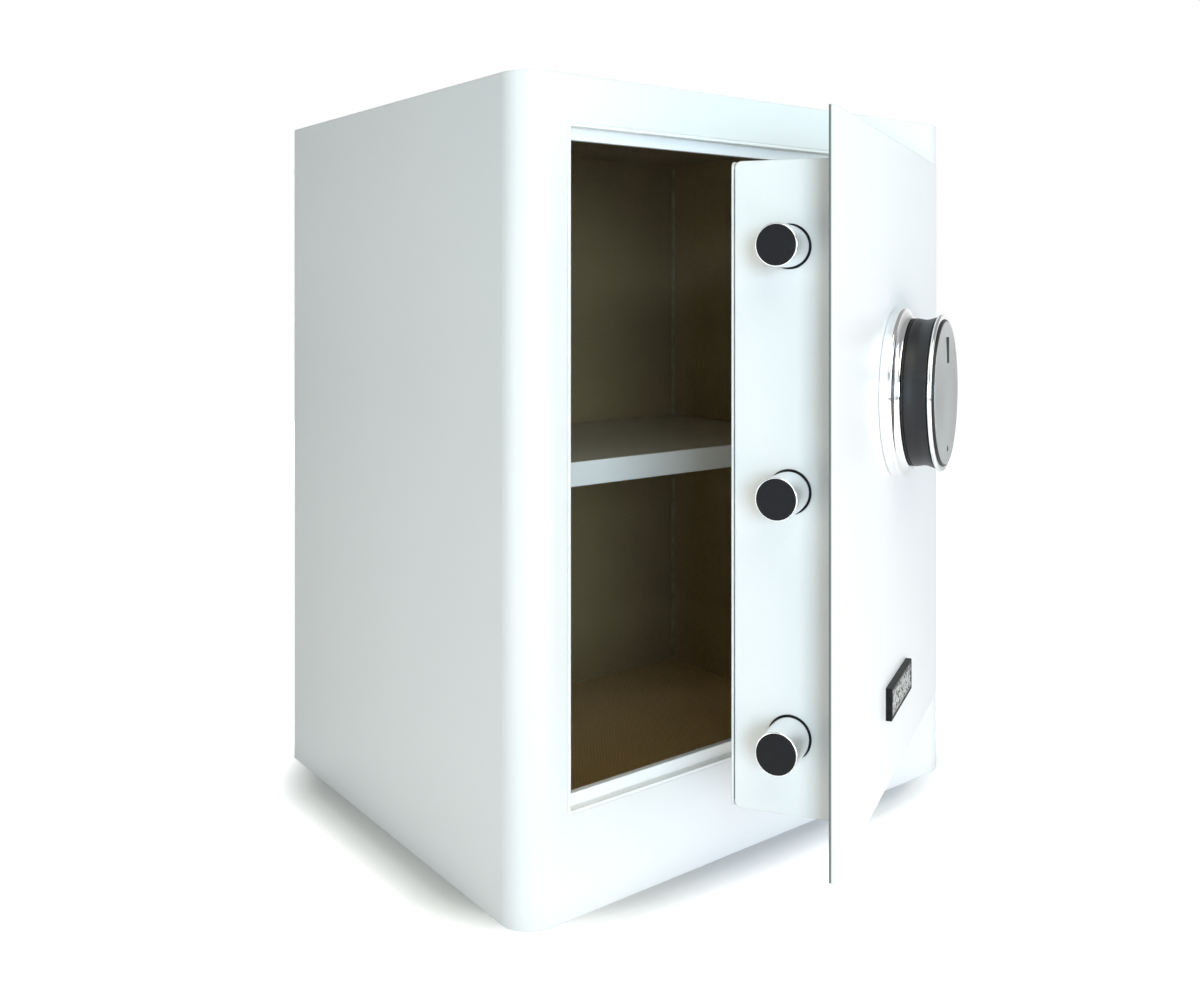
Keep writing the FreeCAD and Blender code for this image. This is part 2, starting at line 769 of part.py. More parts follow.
def cam_slot():
    """The band that the follower sweeps in the cam, with a round end at each limit of the travel."""
    turns = [knob_turn * i / spiral_steps for i in range(spiral_steps + 1)]
    near_side = Part.BSplineCurve()
    near_side.interpolate([spiral_point(turn, -slot_half) for turn in turns])
    far_side = Part.BSplineCurve()
    far_side.interpolate([spiral_point(turn, slot_half) for turn in turns])
    edges = [
        near_side.toShape(),
        Part.makeLine(spiral_point(knob_turn, -slot_half), spiral_point(knob_turn, slot_half)),
        far_side.toShape(),
        Part.makeLine(spiral_point(0, slot_half), spiral_point(0, -slot_half)),
    ]
    through = cam_thick + 2
    band = Part.Face(Part.Wire(Part.__sortEdges__(edges))).extrude(V(0, through, 0))
    for turn in (0, knob_turn):
        end = spiral_point(turn, 0)
        band = band.fuse(rod(slot_half, end, end + V(0, through, 0)))
    return band


def cam():
    disc = rod_y(cam_radius, cam_front, cam_rear, knob_x, knob_z)
    hub = rod_y(cam_hub_radius, cam_rear, hub_rear, knob_x, knob_z)
    disc = disc.fuse(hub).cut(cam_slot())
    return disc.cut(rod_y(spindle_radius, cam_front - 1, hub_rear + 1, knob_x, knob_z))


# ---- knob: fixed base flange, then grip, rim and face turning together ----
flange_top = front - flange_height
grip_start = flange_top - turning_gap
grip_end = grip_start - grip_length
rim_end = grip_end - rim_length
collar_end = grip_end - collar_length
face_rim = collar_end - face_edge


def turned(points):
    """A body of revolution about the knob's axis from (radius, depth) corners."""
    corners = [V(knob_x + radius, y, knob_z) for radius, y in points]
    outline = Part.makePolygon(corners + [corners[0]])
    return Part.Face(outline).revolve(V(knob_x, 0, knob_z), V(0, 1, 0), 360)


def knob_base():
    ring = turned([(bush_radius, front), (flange_radius, front), (flange_radius, front - flange_step),
                   (grip_radius + flange_land, flange_top), (bush_radius, flange_top)])
    ring = round_edges(ring, flange_round, lambda c: abs(c.y - front + flange_step) < 0.01)
    return ring.cut(rod_y(spindle_radius + spindle_hole_gap, flange_top - 1, front + 1, knob_x, knob_z))


def knob_grip():
    inside = grip_radius - knob_wall
    floor = grip_end + knob_wall
    return turned([(0, collar_end), (collar_radius, collar_end), (collar_radius, grip_end),
                   (grip_radius, grip_end), (grip_radius, grip_start), (inside, grip_start),
                   (inside, floor), (grip_hub_radius, floor), (grip_hub_radius, grip_start),
                   (spindle_radius, grip_start), (spindle_radius, floor), (0, floor)])


def knob_rim():
    ring = turned([(collar_radius, grip_end), (rim_radius, grip_end), (rim_radius, rim_end),
                   (collar_radius, rim_end)])
    return round_edges(ring, rim_round, lambda c: abs(c.y - rim_end) < 0.01 or abs(c.y - grip_end) < 0.01)


def window_block(y0, y1):
    z = knob_z + window_above
    return block(knob_x - window_width / 2, knob_x + window_width / 2, y0, y1,
                 z - window_height / 2, z + window_height / 2)


def knob_face():
    """A shallow dome with a tall window and one small mark let into it."""
    ball_radius = (face_radius ** 2 + face_rise ** 2) / (2 * face_rise)
    ball = Part.makeSphere(ball_radius, V(knob_x, face_rim - face_rise + ball_radius, knob_z))
    above = face_rim - face_rise - 1
    face = rod_y(face_radius, above, collar_end, knob_x, knob_z).common(ball)
    face = face.cut(window_block(above, collar_end))
    return face.cut(rod_y(mark_radius, above, collar_end, knob_x, knob_z - mark_below))


save_door("spindle_bush", rod_y(bush_radius, front, board_rear, knob_x, knob_z)
          .cut(rod_y(spindle_radius + running_gap, front - 1, board_rear + 1, knob_x, knob_z)))
save_door("knob_base", knob_base())
save_door("knob_grip", knob_grip())
save_door("knob_rim", knob_rim())
save_door("knob_face", knob_face())
save_door("knob_window", window_block(face_rim - window_rise, collar_end))
save_door("knob_mark", rod_y(mark_radius, face_rim - mark_rise, collar_end, knob_x, knob_z - mark_below))
save_door("knob_spindle", rod_y(spindle_radius, grip_end + knob_wall, hub_rear, knob_x, knob_z))
save_door("locking_cam", cam())
save_door("cam_screw", rod_y(cam_washer_radius, hub_rear, washer_rear, knob_x, knob_z)
          .fuse(rod_y(cam_screw_radius, washer_rear - 1, cam_screw_rear, knob_x, knob_z)))


# ---- solenoid above the drive plate, with the plunger that blocks it ----
solenoid_bottom = drive_top + solenoid_above_drive
solenoid_top = solenoid_bottom + solenoid_height
solenoid_front = plunger_y - solenoid_width / 2
solenoid_left = plunger_x - solenoid_width / 2
solenoid_right = plunger_x + solenoid_width / 2


def solenoid_can():
    can = block(solenoid_left, solenoid_right, solenoid_front, solenoid_front + solenoid_deep,
                solenoid_bottom, solenoid_top)
    bore_end = solenoid_top - solenoid_height * 0.3
    return can.cut(rod_z(plunger_radius + running_gap, solenoid_bottom - 1, bore_end, plunger_x, plunger_y))


def solenoid_bracket():
    bridge = block(solenoid_left, solenoid_right, solenoid_front - solenoid_wall, solenoid_front,
                   solenoid_bottom, solenoid_top)
    for x in (solenoid_left, solenoid_right - solenoid_wall):
        bridge = bridge.fuse(block(x, x + solenoid_wall, plate_rear, solenoid_front,
                                   solenoid_bottom, solenoid_top))
    return bridge


save_door("solenoid", solenoid_can())
save_door("solenoid_bracket", solenoid_bracket())
save_door("solenoid_plunger", rod_z(plunger_radius, drive_top + plunger_gap,
                                    (solenoid_bottom + solenoid_top) / 2, plunger_x, plunger_y))


# ---- circuit board on standoffs, and the cell tray under the knob ----
circuit_front = plate_rear + standoff_length
circuit_rear = circuit_front + circuit_thick
circuit_right = circuit_left + circuit_width
circuit_top = circuit_bottom + circuit_height
tray_bottom = pan_bottom + tray_above_pan
tray_top = tray_bottom + cell_length + 2 * (tray_wall + cell_end_gap)
tray_rear = board_rear + 2 * cell_radius


def circuit_standoffs():
    posts = []
    for x in (circuit_left + standoff_inset, circuit_right - standoff_inset):
        for z in (circuit_bottom + standoff_inset, circuit_top - standoff_inset):
            posts.append(rod_y(standoff_radius, plate_rear, circuit_front, x, z))
    return posts


def circuit_board():
    board = block(circuit_left, circuit_right, circuit_front, circuit_rear, circuit_bottom, circuit_top)
    chip_left = circuit_left + circuit_width / 3
    chip_bottom = circuit_bottom + circuit_height * 0.4
    chip = block(chip_left, chip_left + chip_width, circuit_rear, circuit_rear + chip_rise,
                 chip_bottom, chip_bottom + chip_height)
    plug_right = circuit_right - plug_margin
    plug_top = circuit_top - 2 * plug_margin
    plug = block(plug_right - plug_width, plug_right, circuit_rear, circuit_rear + plug_rise,
                 plug_top - plug_height, plug_top)
    return board.fuse(chip).fuse(plug)


def cell_tray():
    half = cell_count * (cell_radius + cell_gap / 2) + tray_wall
    outer = block(knob_x - half, knob_x + half, board_rear, tray_rear, tray_bottom, tray_top)
    inner = block(knob_x - half + tray_wall, knob_x + half - tray_wall, board_rear + tray_wall,
                  tray_rear + 1, tray_bottom + tray_wall, tray_top - tray_wall)
    return outer.cut(inner)


def cells():
    low = tray_bottom + tray_wall + cell_end_gap
    shoulder = low + cell_length - cell_button
    y = board_rear + tray_wall + cell_radius
    row = []
    for i in range(cell_count):
        x = knob_x + (i - (cell_count - 1) / 2) * (2 * cell_radius + cell_gap)
        can = rod_z(cell_radius, low, shoulder, x, y)
        row.append(can.fuse(rod_z(cell_button_radius, shoulder, low + cell_length, x, y)))
    return row


save_door("circuit_board", circuit_board())
save_door_group("circuit_standoffs", circuit_standoffs())
save_door("cell_tray", cell_tray())
save_door_group("cells", cells())


# ---- bare badge below the knob ----
badge_z = door_bottom + badge_rise


def badge_block(inset, y0, y1):
    return block(knob_x - badge_width / 2 + inset, knob_x + badge_width / 2 - inset, y0, y1,
                 badge_z - badge_height / 2 + inset, badge_z + badge_height / 2 - inset)


def badge_frame():
    frame = badge_block(0, front - badge_thick, front)
    frame = round_edges(frame, badge_round, lambda c: abs(c.y - front + badge_thick) < 0.01)
    return frame.cut(badge_block(badge_border, front - badge_thick - 1, front - badge_floor))


save_door("badge_frame", badge_frame())
save_door("badge_plate", badge_block(badge_border, front - badge_thick + badge_recess, front - badge_floor))
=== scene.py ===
import json
import math

import bmesh
import bpy
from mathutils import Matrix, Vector


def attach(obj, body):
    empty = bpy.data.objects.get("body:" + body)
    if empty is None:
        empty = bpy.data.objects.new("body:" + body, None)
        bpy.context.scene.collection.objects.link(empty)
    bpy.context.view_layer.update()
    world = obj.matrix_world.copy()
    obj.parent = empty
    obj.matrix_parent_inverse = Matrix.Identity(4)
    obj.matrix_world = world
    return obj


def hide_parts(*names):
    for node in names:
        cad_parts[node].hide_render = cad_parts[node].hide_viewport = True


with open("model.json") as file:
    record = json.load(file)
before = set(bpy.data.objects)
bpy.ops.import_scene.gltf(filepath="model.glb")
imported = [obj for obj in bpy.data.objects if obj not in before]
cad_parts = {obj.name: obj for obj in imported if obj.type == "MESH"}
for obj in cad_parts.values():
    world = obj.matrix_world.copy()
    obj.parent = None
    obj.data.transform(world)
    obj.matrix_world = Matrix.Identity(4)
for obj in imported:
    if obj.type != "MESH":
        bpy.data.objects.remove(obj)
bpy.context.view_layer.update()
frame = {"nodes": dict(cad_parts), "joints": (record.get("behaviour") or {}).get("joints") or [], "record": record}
nodes = frame["nodes"]
print("frame loaded:", len(nodes), "nodes")


def newObject(name, data):
    made = bpy.data.objects.new(name, data)
    bpy.context.collection.objects.link(made)
    return made


# shader nodes: a socket's value may be a number, a colour or another node's output
def feed(tree, value, socket):
    if value is None:
        return
    if isinstance(value, bpy.types.NodeSocket):
        tree.links.new(value, socket)
    else:
        socket.default_value = value


def addNode(tree, kind, **values):
    # values are sockets, with their spaces as underscores, or plain settings of the node
    node = tree.nodes.new("ShaderNode" + kind)
    for key, value in values.items():
        title = key.replace("_", " ")
        if title in node.inputs:
            feed(tree, value, node.inputs[title])
        else:
            setattr(node, key, value)
    return node


def maths(tree, operation, first, second=None, third=None):
    node = addNode(tree, "Math", operation=operation)
    for socket, value in zip(node.inputs, (first, second, third)):
        feed(tree, value, socket)
    return node.outputs[0]


def vectorMaths(tree, operation, first, second=None, output=0):
    # output 0 is the vector, 1 is the number of a length or a dot product
    node = addNode(tree, "VectorMath", operation=operation)
    for socket, value in zip(node.inputs, (first, second)):
        feed(tree, value, socket)
    return node.outputs[output]


def mixColour(tree, factor, first, second, blend="MIX"):
    node = addNode(tree, "Mix", data_type="RGBA", blend_type=blend)
    for socket, value in ((0, factor), (6, first), (7, second)):     # where a colour mix has its sockets
        feed(tree, value, node.inputs[socket])
    return node.outputs[2]


def tinted(tree, colour, tint):
    return mixColour(tree, 1.0, colour, tint, "MULTIPLY")


def remap(tree, value, low, high, newLow=0.0, newHigh=1.0, kind="SMOOTHSTEP"):
    node = addNode(tree, "MapRange", interpolation_type=kind, Value=value, From_Min=low, From_Max=high,
                   To_Min=newLow, To_Max=newHigh)
    return node.outputs["Result"]


def noise(tree, place, scale, detail=3.0, roughness=0.5):
    node = addNode(tree, "TexNoise", Vector=place, Scale=scale, Detail=detail, Roughness=roughness)
    return node.outputs["Fac"]


def spread(tree, grain, values=(0.0, 1.0)):
    # spreads the usual range of a noise over a pair of values
    return remap(tree, grain, 0.3, 0.7, *values)


def objectPlace(tree):
    return addNode(tree, "TexCoord").outputs["Object"]


def surfaceNormal(tree):
    return addNode(tree, "NewGeometry").outputs["Normal"]


def facing(tree, way):
    # 1 on faces that look the given way, 0 on the rest
    turned = {"away": 0.6, "towards": 0.9}      # cosines of the angle between them
    cosine = vectorMaths(tree, "DOT_PRODUCT", surfaceNormal(tree), way, output=1)
    return remap(tree, cosine, turned["away"], turned["towards"])


def bumpFrom(tree, height, strength, distance, normal=None):
    node = addNode(tree, "Bump", Strength=strength, Distance=distance, Height=height, Normal=normal)
    return node.outputs["Normal"]


def placeCamera():
    camera = {
        "place": (-0.53585, -0.77013, 0.3711),
        "turn": 41.19,              # degrees to the right of straight ahead
        "lens": 35.39,
        "sensor": 36,
        "shift": (-0.125, -0.1733),
        "clip": (0.02, 60),
    }
    data = bpy.data.cameras.new("camera")
    data.lens = camera["lens"]
    data.sensor_width = camera["sensor"]
    data.shift_x, data.shift_y = camera["shift"]
    data.clip_start, data.clip_end = camera["clip"]
    made = newObject("camera", data)
    made.location = camera["place"]
    made.rotation_euler = (math.radians(90), 0, -math.radians(camera["turn"]))
    bpy.context.scene.camera = made
    bpy.context.scene.view_settings.view_transform = "Standard"


def areaLight(name, place, target, size, power, colour):
    data = bpy.data.lights.new(name, "AREA")
    data.shape = "RECTANGLE"
    data.size, data.size_y = size
    data.energy = power
    data.color = colour
    lamp = newObject(name, data)
    lamp.location = place
    lamp.rotation_euler = (Vector(target) - Vector(place)).to_track_quat("-Z", "Y").to_euler()


# softboxes in front and behind, and small cards near the floor that lift the sides' lower ends
lights = {
    "keySoftbox": dict(place=(-1.12, -2.3, 0.55), target=(0, 0, 0.25), size=(0.8, 0.8), power=31.2,
                       colour=(0.665, 0.86, 1.0)),
    "rightSoftbox": dict(place=(1.5, -2.3, 0.9), target=(0, 0, 0.25), size=(1.6, 1.6), power=20.1,
                         colour=(0.61, 0.82, 1.0)),
    "frontSoftbox": dict(place=(-0.3, -1.0, 1.2), target=(-0.2, -0.5, 0), size=(1.0, 1.0), power=7.84,
                         colour=(1.0, 0.98, 0.788)),
    "backSoftbox": dict(place=(0.8, 2.4, 0.9), target=(0, 0, 0.25), size=(1.6, 1.6), power=16.0,
                        colour=(0.9, 0.96, 1.0)),
    "leftCard": dict(place=(-1.0, -0.5, 0.03), target=(-0.19, 0, 0.12), size=(1.2, 1.0), power=1.65,
                     colour=(0.765, 0.917, 1.0)),
    "nearCard": dict(place=(-0.72, -0.05, 0.03), target=(-0.19, 0, 0.1), size=(0.5, 0.8), power=1.6,
                     colour=(1.0, 0.91, 0.82)),
    "frontCard": dict(place=(0.1, -0.85, 0.03), target=(0, -0.17, 0.05), size=(0.9, 0.4), power=2.64,
                      colour=(1.0, 0.731, 0.651)),
}


def studioWorld():
    # white behind the floor and in what the chrome mirrors, dimmer overhead, and nothing for diffuse rays
    sky = {"level": 0.95, "overhead": 0.3325, "fade": (0.15, 0.5)}
    world = bpy.data.worlds.new("studio")
    bpy.context.scene.world = world
    world.use_nodes = True
    world.cycles.sampling_method = "NONE"
    tree = world.node_tree
    split = addNode(tree, "SeparateXYZ", Vector=addNode(tree, "TexCoord").outputs["Generated"])
    mirrored = remap(tree, split.outputs["Z"], *sky["fade"], sky["level"], sky["overhead"], "LINEAR")
    path = addNode(tree, "LightPath")
    shown = maths(tree, "MAXIMUM", mirrored, path.outputs["Is Camera Ray"])
    strength = maths(tree, "MULTIPLY", shown, maths(tree, "SUBTRACT", 1.0, path.outputs["Is Diffuse Ray"]))
    background = tree.nodes["Background"]
    background.inputs["Color"].default_value = (1, 1, 1, 1)
    tree.links.new(strength, background.inputs["Strength"])


placeCamera()
for lightName, values in lights.items():
    areaLight(lightName, **values)
studioWorld()
print("camera and lights placed")


def newGroup(name, inputs, outputs):
    # an empty shader node group; inputs are (name, kind, value) and outputs (name, kind)
    group = bpy.data.node_groups.new(name, "ShaderNodeTree")
    for title, kind, value in inputs:
        made = group.interface.new_socket(title, in_out="INPUT", socket_type="NodeSocket" + kind)
        made.default_value = value
    for title, kind in outputs:
        group.interface.new_socket(title, in_out="OUTPUT", socket_type="NodeSocket" + kind)
    return group, group.nodes.new("NodeGroupInput").outputs, group.nodes.new("NodeGroupOutput").inputs


def makeEdgeGroup():
    # rounds sharp edges in the shading and gives a mask of them, broken up as handling wears them
    wear = {"samples": 4, "flat": 0.995, "edge": 0.86, "gaps": (0.42, 0.62)}
    tree, given, put = newGroup("softEdges", [("Radius", "Float", 0.0008), ("Break up", "Float", 90.0)],
                                [("Normal", "Vector"), ("Mask", "Float")])
    rounded = addNode(tree, "Bevel", samples=wear["samples"], Radius=given["Radius"]).outputs["Normal"]
    same = vectorMaths(tree, "DOT_PRODUCT", rounded, surfaceNormal(tree), output=1)
    edge = remap(tree, same, wear["flat"], wear["edge"])
    broken = remap(tree, noise(tree, objectPlace(tree), given["Break up"], 4.0), *wear["gaps"])
    tree.links.new(rounded, put["Normal"])
    tree.links.new(maths(tree, "MULTIPLY", edge, broken), put["Mask"])
    return tree


def makeCoatGroup():
    # powder coat: fine orange-peel relief and the slow unevenness of a sprayed, baked film
    film = {"cloud": 7.0, "patch": 38.0, "patchGloss": 0.16}
    inputs = [("Colour", "Color", (1, 1, 1, 1)), ("Peel scale", "Float", 420.0), ("Uneven", "Float", 0.03),
              ("Gloss", "Float", 0.35)]
    outputs = [("Colour", "Color"), ("Roughness", "Float"), ("Height", "Float")]
    tree, given, put = newGroup("powderCoat", inputs, outputs)
    place = objectPlace(tree)
    cloud = maths(tree, "SUBTRACT", noise(tree, place, film["cloud"], 4.0), 0.5)
    shade = maths(tree, "MULTIPLY_ADD", cloud, given["Uneven"], 1.0)
    grey = addNode(tree, "CombineColor", Red=shade, Green=shade, Blue=shade).outputs[0]
    patch = maths(tree, "SUBTRACT", noise(tree, place, film["patch"], 5.0), 0.5)
    tree.links.new(tinted(tree, given["Colour"], grey), put["Colour"])
    tree.links.new(maths(tree, "MULTIPLY_ADD", patch, film["patchGloss"], given["Gloss"]), put["Roughness"])
    tree.links.new(noise(tree, place, given["Peel scale"], 2.0), put["Height"])
    return tree


def makeHandlingGroup():
    # marks on a polished surface: wipe streaks and faint finger spots
    wipe = {"stretch": (30, 30, 220), "streaks": (0.4, 0.75), "spotScale": 60.0, "spots": (0.45, 0.7)}
    tree, given, put = newGroup("handling", [("Amount", "Float", 0.1)], [("Mask", "Float")])
    place = objectPlace(tree)
    streak = noise(tree, vectorMaths(tree, "MULTIPLY", place, wipe["stretch"]), 1.0, 4.0, 0.6)
    spot = noise(tree, place, wipe["spotScale"], 2.0)
    both = maths(tree, "MULTIPLY", remap(tree, streak, *wipe["streaks"]), remap(tree, spot, *wipe["spots"]))
    tree.links.new(maths(tree, "MULTIPLY", both, given["Amount"]), put["Mask"])
    return tree


softEdges = makeEdgeGroup()
powderCoat = makeCoatGroup()
handling = makeHandlingGroup()


def placeGroup(tree, group, **values):
    node = tree.nodes.new("ShaderNodeGroup")
    node.node_tree = group
    for key, value in values.items():
        feed(tree, value, node.inputs[key.replace("_", " ")])
    return node.outputs


def newMaterial(name, **values):
    # values are set straight on the Principled shader's sockets
    material = bpy.data.materials.new(name)
    material.use_nodes = True
    tree = material.node_tree
    shader = tree.nodes["Principled BSDF"].inputs
    for key, value in values.items():
        shader[key.replace("_", " ")].default_value = value
    return material, tree, shader


def whitePaint(name="whitePaint", colour=(0.86, 0.875, 0.87, 1), cornerShadeAmount=0.22, shaded=None, shade=None):
    # shaded makes a mask of the faces that the shade colour tones down as painted shade; corners and recesses are
    # greyed as painted shade too
    look = {"chip": (0.62, 0.63, 0.62, 1), "worn": 0.35, "cornerShadeTone": (0.36, 0.35, 0.335, 1), "cornerShadeReach": 0.024,
            "openness": (0.9, 0.25), "gloss": 0.34, "uneven": 0.03, "edge": 0.0009, "chipping": 140.0,
            "bump": 0.05, "bumpDeep": 0.0004}
    material, tree, shader = newMaterial(name, Specular_IOR_Level=0.3, Coat_Weight=0.05, Coat_Roughness=0.22)
    coat = placeGroup(tree, powderCoat, Colour=colour, Gloss=look["gloss"], Uneven=look["uneven"])
    edge = placeGroup(tree, softEdges, Radius=look["edge"], Break_up=look["chipping"])
    worn = maths(tree, "MULTIPLY", edge["Mask"], look["worn"])
    # painted shade: ambient occlusion greys the paint in corners, recesses and under overhangs, where shade falls
    corner = addNode(tree, "AmbientOcclusion", samples=5, Distance=look["cornerShadeReach"])
    shadeSheenAndMarks = remap(tree, corner.outputs["AO"], *look["openness"], 0.0, cornerShadeAmount)
    tone = mixColour(tree, worn, coat["Colour"], look["chip"])
    if shaded:
        tone = mixColour(tree, shaded(tree), tone, tinted(tree, tone, shade))
    tree.links.new(mixColour(tree, shadeSheenAndMarks, tone, look["cornerShadeTone"]), shader["Base Color"])
    tree.links.new(coat["Roughness"], shader["Roughness"])
    relief = bumpFrom(tree, coat["Height"], look["bump"], look["bumpDeep"], edge["Normal"])
    tree.links.new(relief, shader["Normal"])
    return material


def diamondWaves(tree, place, upDown, cell, slope, level):
    # two crossing sets of ridges, laid along a level face or up whichever wall the face is part of
    split = addNode(tree, "SeparateXYZ", Vector=place).outputs
    across = maths(tree, "ADD", split[0], split[1])
    flat = maths(tree, "GREATER_THAN", maths(tree, "ABSOLUTE", upDown), level)
    waves = []
    for sign in (1, -1):
        pair = []
        for u, v in ((across, split[2]), (split[0], split[1])):
            run = maths(tree, "MULTIPLY_ADD", v, sign * slope, u)
            pair.append(maths(tree, "SINE", maths(tree, "MULTIPLY", run, 2 * math.pi / cell)))
        chosen = addNode(tree, "Mix")
        for socket, value in ((0, flat), (2, pair[0]), (3, pair[1])):     # where a number mix has its sockets
            feed(tree, value, chosen.inputs[socket])
        waves.append(maths(tree, "ABSOLUTE", chosen.outputs[0]))
    return maths(tree, "POWER", maths(tree, "MULTIPLY", *waves), 0.5)


def liningSheet(name="liningSheet", bright=None):
    # olive-brown sheet pressed with a small diamond pattern, with painted light: up-facing floors tinted lighter
    # and warmer, and the whole sheet lightened when bright is given
    look = {"colour": (0.355, 0.268, 0.138, 1), "groove": (0.235, 0.175, 0.08, 1), "cell": 0.0056,
            "slope": 0.62, "faded": (0.395, 0.305, 0.158, 1), "floorLightTint": (1.75, 1.6, 1.3, 1), "level": 0.7,
            "cloud": 9.0, "fading": (0.35, 0.7), "mostFaded": 0.3, "grain": 1500.0, "grainHeight": 0.25,
            "rough": (0.55, 0.8), "bump": 0.6, "bumpDeep": 0.0006}
    material, tree, shader = newMaterial(name, Sheen_Weight=0.12, Sheen_Roughness=0.5)
    place = objectPlace(tree)
    upDown = addNode(tree, "SeparateXYZ", Vector=surfaceNormal(tree)).outputs[2]
    pillow = diamondWaves(tree, place, upDown, look["cell"], look["slope"], look["level"])
    grain = noise(tree, place, look["grain"])
    cloud = noise(tree, place, look["cloud"], 4.0)
    tone = mixColour(tree, pillow, look["groove"], look["colour"])
    faded = remap(tree, cloud, *look["fading"], 0.0, look["mostFaded"])
    tone = mixColour(tree, faded, tone, look["faded"])
    # painted light: faces that look up get a lighter, warmer tint, as the lit floors
    litFloors = maths(tree, "GREATER_THAN", upDown, look["level"])
    tone = mixColour(tree, litFloors, tone, tinted(tree, tone, look["floorLightTint"]))
    # painted light: bright makes a lit copy, the whole sheet lighter
    if bright:
        tone = tinted(tree, tone, (bright, bright, bright, 1))
    tree.links.new(tone, shader["Base Color"])
    tree.links.new(spread(tree, grain, look["rough"]), shader["Roughness"])
    height = maths(tree, "MULTIPLY_ADD", grain, look["grainHeight"], pillow)
    tree.links.new(bumpFrom(tree, height, look["bump"], look["bumpDeep"]), shader["Normal"])
    return material


def polishedChrome():
    look = {"clean": (0.96, 0.965, 0.975, 1), "touched": (0.84, 0.85, 0.86, 1), "rough": 0.06,
            "smeared": 0.22, "marks": 0.5, "ripple": 240.0, "bump": 0.02, "bumpDeep": 0.0003}
    material, tree, shader = newMaterial("polishedChrome", Metallic=1.0)
    marks = placeGroup(tree, handling, Amount=look["marks"])["Mask"]
    ripple = noise(tree, objectPlace(tree), look["ripple"], 2.0)
    tree.links.new(mixColour(tree, marks, look["clean"], look["touched"]), shader["Base Color"])
    tree.links.new(maths(tree, "MULTIPLY_ADD", marks, look["smeared"], look["rough"]), shader["Roughness"])
    tree.links.new(bumpFrom(tree, ripple, look["bump"], look["bumpDeep"]), shader["Normal"])
    return material


def blackPlastic(name, shine):
    look = {"colour": (0.012, 0.012, 0.014, 1), "shadeSheenAndMarks": (0.06, 0.06, 0.064, 1), "onEdges": 0.5,
            "onMarks": 0.35, "marks": 0.6, "edge": 0.0007, "chipping": 160.0, "grain": 2600.0,
            "rough": (0.34, 0.48), "bump": 0.12, "bumpDeep": 0.0002}
    material, tree, shader = newMaterial(name, Specular_IOR_Level=shine)
    edge = placeGroup(tree, softEdges, Radius=look["edge"], Break_up=look["chipping"])
    marks = placeGroup(tree, handling, Amount=look["marks"])["Mask"]
    grain = noise(tree, objectPlace(tree), look["grain"], 2.0)
    # edges get a lighter grey as painted sheen; handling marks get it too, as real smudges
    shadeSheenAndMarks = maths(tree, "MAXIMUM", maths(tree, "MULTIPLY", edge["Mask"], look["onEdges"]),
                  maths(tree, "MULTIPLY", marks, look["onMarks"]))
    tree.links.new(mixColour(tree, shadeSheenAndMarks, look["colour"], look["shadeSheenAndMarks"]), shader["Base Color"])
    tree.links.new(spread(tree, grain, look["rough"]), shader["Roughness"])
    tree.links.new(bumpFrom(tree, grain, look["bump"], look["bumpDeep"], edge["Normal"]), shader["Normal"])
    return material


def plainSteel():
    # zinc-plated steel: fine drawn grain, passivated patches and softly bright edges
    look = {"bare": (0.52, 0.53, 0.54, 1), "passivated": (0.64, 0.63, 0.58, 1),
            "rubbed": (0.82, 0.83, 0.84, 1), "drawn": (60, 60, 1400), "drawnRange": (0.25, 0.75),
            "patch": 46.0, "patchRange": (0.35, 0.7), "edge": 0.0005, "chipping": 180.0,
            "rough": (0.26, 0.46), "bump": 0.1, "bumpDeep": 0.0002}
    material, tree, shader = newMaterial("plainSteel", Metallic=1.0)
    place = objectPlace(tree)
    edge = placeGroup(tree, softEdges, Radius=look["edge"], Break_up=look["chipping"])
    drawn = noise(tree, vectorMaths(tree, "MULTIPLY", place, look["drawn"]), 1.0, 4.0, 0.6)
    patch = noise(tree, place, look["patch"], 4.0)
    tone = mixColour(tree, remap(tree, patch, *look["patchRange"]), look["bare"], look["passivated"])
    tree.links.new(mixColour(tree, edge["Mask"], tone, look["rubbed"]), shader["Base Color"])
    tree.links.new(remap(tree, drawn, *look["drawnRange"], *look["rough"]), shader["Roughness"])
    tree.links.new(bumpFrom(tree, drawn, look["bump"], look["bumpDeep"], edge["Normal"]), shader["Normal"])
    return material


def spunSilver(centre, along):
    # satin metal turned on a lathe, with its rings about the knob's own axis
    look = {"dull": (0.6, 0.615, 0.61, 1), "bright": (0.68, 0.695, 0.69, 1), "cloud": 30.0, "rings": 2600.0,
            "rough": (0.3, 0.42), "bump": 0.08, "bumpDeep": 0.0002}
    material, tree, shader = newMaterial("spunSilver", Metallic=1.0)
    place = objectPlace(tree)
    fromCentre = vectorMaths(tree, "SUBTRACT", place, centre)
    radius = vectorMaths(tree, "LENGTH", vectorMaths(tree, "CROSS_PRODUCT", fromCentre, along), output=1)
    rings = noise(tree, addNode(tree, "CombineXYZ", X=radius).outputs[0], look["rings"], 3.0, 0.7)
    cloud = noise(tree, place, look["cloud"])
    tree.links.new(mixColour(tree, spread(tree, cloud), look["dull"], look["bright"]), shader["Base Color"])
    tree.links.new(spread(tree, rings, look["rough"]), shader["Roughness"])
    tree.links.new(bumpFrom(tree, rings, look["bump"], look["bumpDeep"]), shader["Normal"])
    return material


